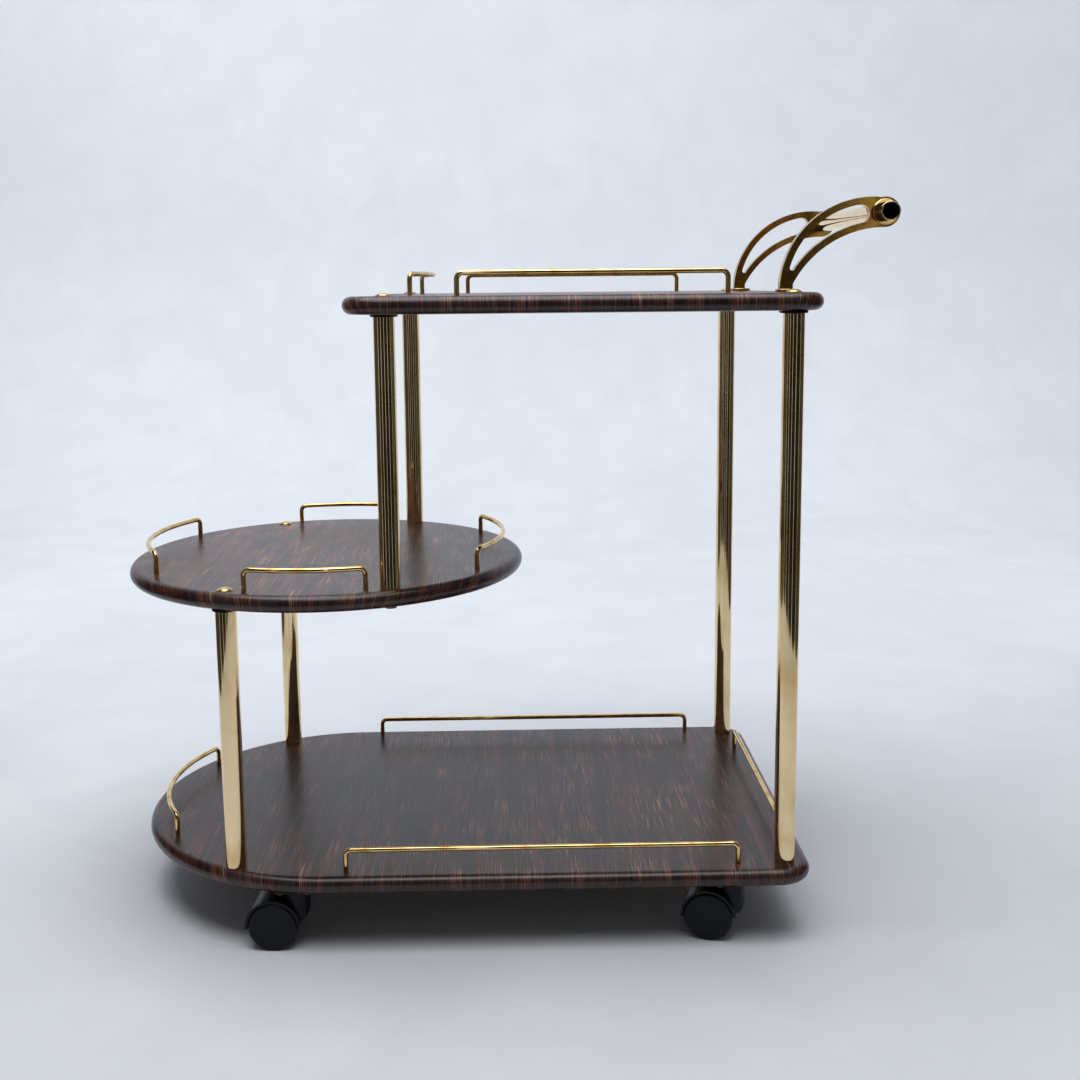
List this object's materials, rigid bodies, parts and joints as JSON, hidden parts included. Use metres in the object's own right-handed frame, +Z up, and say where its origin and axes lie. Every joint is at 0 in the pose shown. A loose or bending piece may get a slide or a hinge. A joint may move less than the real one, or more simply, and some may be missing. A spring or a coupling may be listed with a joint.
{
  "type": "food service trolley",
  "caption": "Low serving trolley with a round shelf, a base and a raised top board on brass tube legs, gallery rails, a push handle and swivel casters.",
  "frame": {"origin": "on the floor, midway along the trolley's overall length and on its middle plane", "axes": "+X towards the push handle, +Y across the trolley to its back side, +Z up"},
  "size_m": [0.843, 0.458, 0.7745],
  "materials": {
    "rosewood_board": "satin dark rosewood foil on a round-edged board",
    "polished_brass": "polished pale gold",
    "antique_brass": "cast and tumbled, darker old gold",
    "black_plastic": "matt moulded",
    "black_nylon": "satin moulded nylon",
    "black_steel": "black zinc",
    "zinc_steel": "bright zinc"
  },
  "bodies": {
    "trolley": {"top_board": "rosewood_board", "round_board": "rosewood_board", "base_board": "rosewood_board", "end_leg_front": "polished_brass", "end_leg_back": "polished_brass", "lower_leg_front": "polished_brass", "lower_leg_back": "polished_brass", "upper_leg_front": "polished_brass", "upper_leg_back": "polished_brass", "leg_collars": "black_plastic", "foot_plugs": "black_plastic", "dome_bolts": "polished_brass", "under_bolts": "zinc_steel", "base_rail_front": "polished_brass", "base_rail_back": "polished_brass", "base_rail_round": "polished_brass", "base_rail_cross": "polished_brass", "round_rail_front": "polished_brass", "round_rail_back": "polished_brass", "round_rail_left": "polished_brass", "round_rail_right": "polished_brass", "top_rail_front": "polished_brass", "top_rail_back": "polished_brass", "top_rail_bowed": "polished_brass", "handle_arm_front": "antique_brass", "handle_arm_back": "antique_brass", "handle_flanges": "polished_brass", "handle_bolts": "zinc_steel", "grip_tube": "polished_brass", "grip_rings": "polished_brass", "grip_screws": "black_steel", "caster_plates": "black_steel", "caster_screws": "zinc_steel", "caster_pintles": "zinc_steel", "pintle_clips": "zinc_steel"},
    "caster_left_front": {"hood_left_front": "black_nylon", "axle_left_front": "zinc_steel"},
    "wheel_left_front_outer": {"wheel_left_front_outer": "black_nylon"},
    "wheel_left_front_inner": {"wheel_left_front_inner": "black_nylon"},
    "caster_right_front": {"hood_right_front": "black_nylon", "axle_right_front": "zinc_steel"},
    "wheel_right_front_outer": {"wheel_right_front_outer": "black_nylon"},
    "wheel_right_front_inner": {"wheel_right_front_inner": "black_nylon"},
    "caster_left_back": {"hood_left_back": "black_nylon", "axle_left_back": "zinc_steel"},
    "wheel_left_back_outer": {"wheel_left_back_outer": "black_nylon"},
    "wheel_left_back_inner": {"wheel_left_back_inner": "black_nylon"},
    "caster_right_back": {"hood_right_back": "black_nylon", "axle_right_back": "zinc_steel"},
    "wheel_right_back_outer": {"wheel_right_back_outer": "black_nylon"},
    "wheel_right_back_inner": {"wheel_right_back_inner": "black_nylon"}
  },
  "joints": [
    {"name": "swivel_left_front", "type": "hinge", "parent": "trolley", "child": "caster_left_front", "pos_m": [-0.2165, -0.198, 0.048], "axis": [0, 0, 1], "continuous": true},
    {"name": "spin_left_front_outer", "type": "hinge", "parent": "caster_left_front", "child": "wheel_left_front_outer", "pos_m": [-0.23747, -0.1969, 0.0255], "axis": [0.0523, 0.9986, 0], "continuous": true},
    {"name": "spin_left_front_inner", "type": "hinge", "parent": "caster_left_front", "child": "wheel_left_front_inner", "pos_m": [-0.23747, -0.1969, 0.0255], "axis": [0.0523, 0.9986, 0], "continuous": true},
    {"name": "swivel_right_front", "type": "hinge", "parent": "trolley", "child": "caster_right_front", "pos_m": [0.2445, -0.198, 0.048], "axis": [0, 0, 1], "continuous": true},
    {"name": "spin_right_front_outer", "type": "hinge", "parent": "caster_right_front", "child": "wheel_right_front_outer", "pos_m": [0.22431, -0.19221, 0.0255], "axis": [0.2756, 0.9613, 0], "continuous": true},
    {"name": "spin_right_front_inner", "type": "hinge", "parent": "caster_right_front", "child": "wheel_right_front_inner", "pos_m": [0.22431, -0.19221, 0.0255], "axis": [0.2756, 0.9613, 0], "continuous": true},
    {"name": "swivel_left_back", "type": "hinge", "parent": "trolley", "child": "caster_left_back", "pos_m": [-0.2165, 0.198, 0.048], "axis": [0, 0, 1], "continuous": true},
    {"name": "spin_left_back_outer", "type": "hinge", "parent": "caster_left_back", "child": "wheel_left_back_outer", "pos_m": [-0.23724, 0.19471, 0.0255], "axis": [-0.1564, 0.9877, 0], "continuous": true},
    {"name": "spin_left_back_inner", "type": "hinge", "parent": "caster_left_back", "child": "wheel_left_back_inner", "pos_m": [-0.23724, 0.19471, 0.0255], "axis": [-0.1564, 0.9877, 0], "continuous": true},
    {"name": "swivel_right_back", "type": "hinge", "parent": "trolley", "child": "caster_right_back", "pos_m": [0.2445, 0.198, 0.048], "axis": [0, 0, 1], "continuous": true},
    {"name": "spin_right_back_outer", "type": "hinge", "parent": "caster_right_back", "child": "wheel_right_back_outer", "pos_m": [0.22366, 0.20056, 0.0255], "axis": [0.1219, 0.9925, 0], "continuous": true},
    {"name": "spin_right_back_inner", "type": "hinge", "parent": "caster_right_back", "child": "wheel_right_back_inner", "pos_m": [0.22366, 0.20056, 0.0255], "axis": [0.1219, 0.9925, 0], "continuous": true}
  ]
}
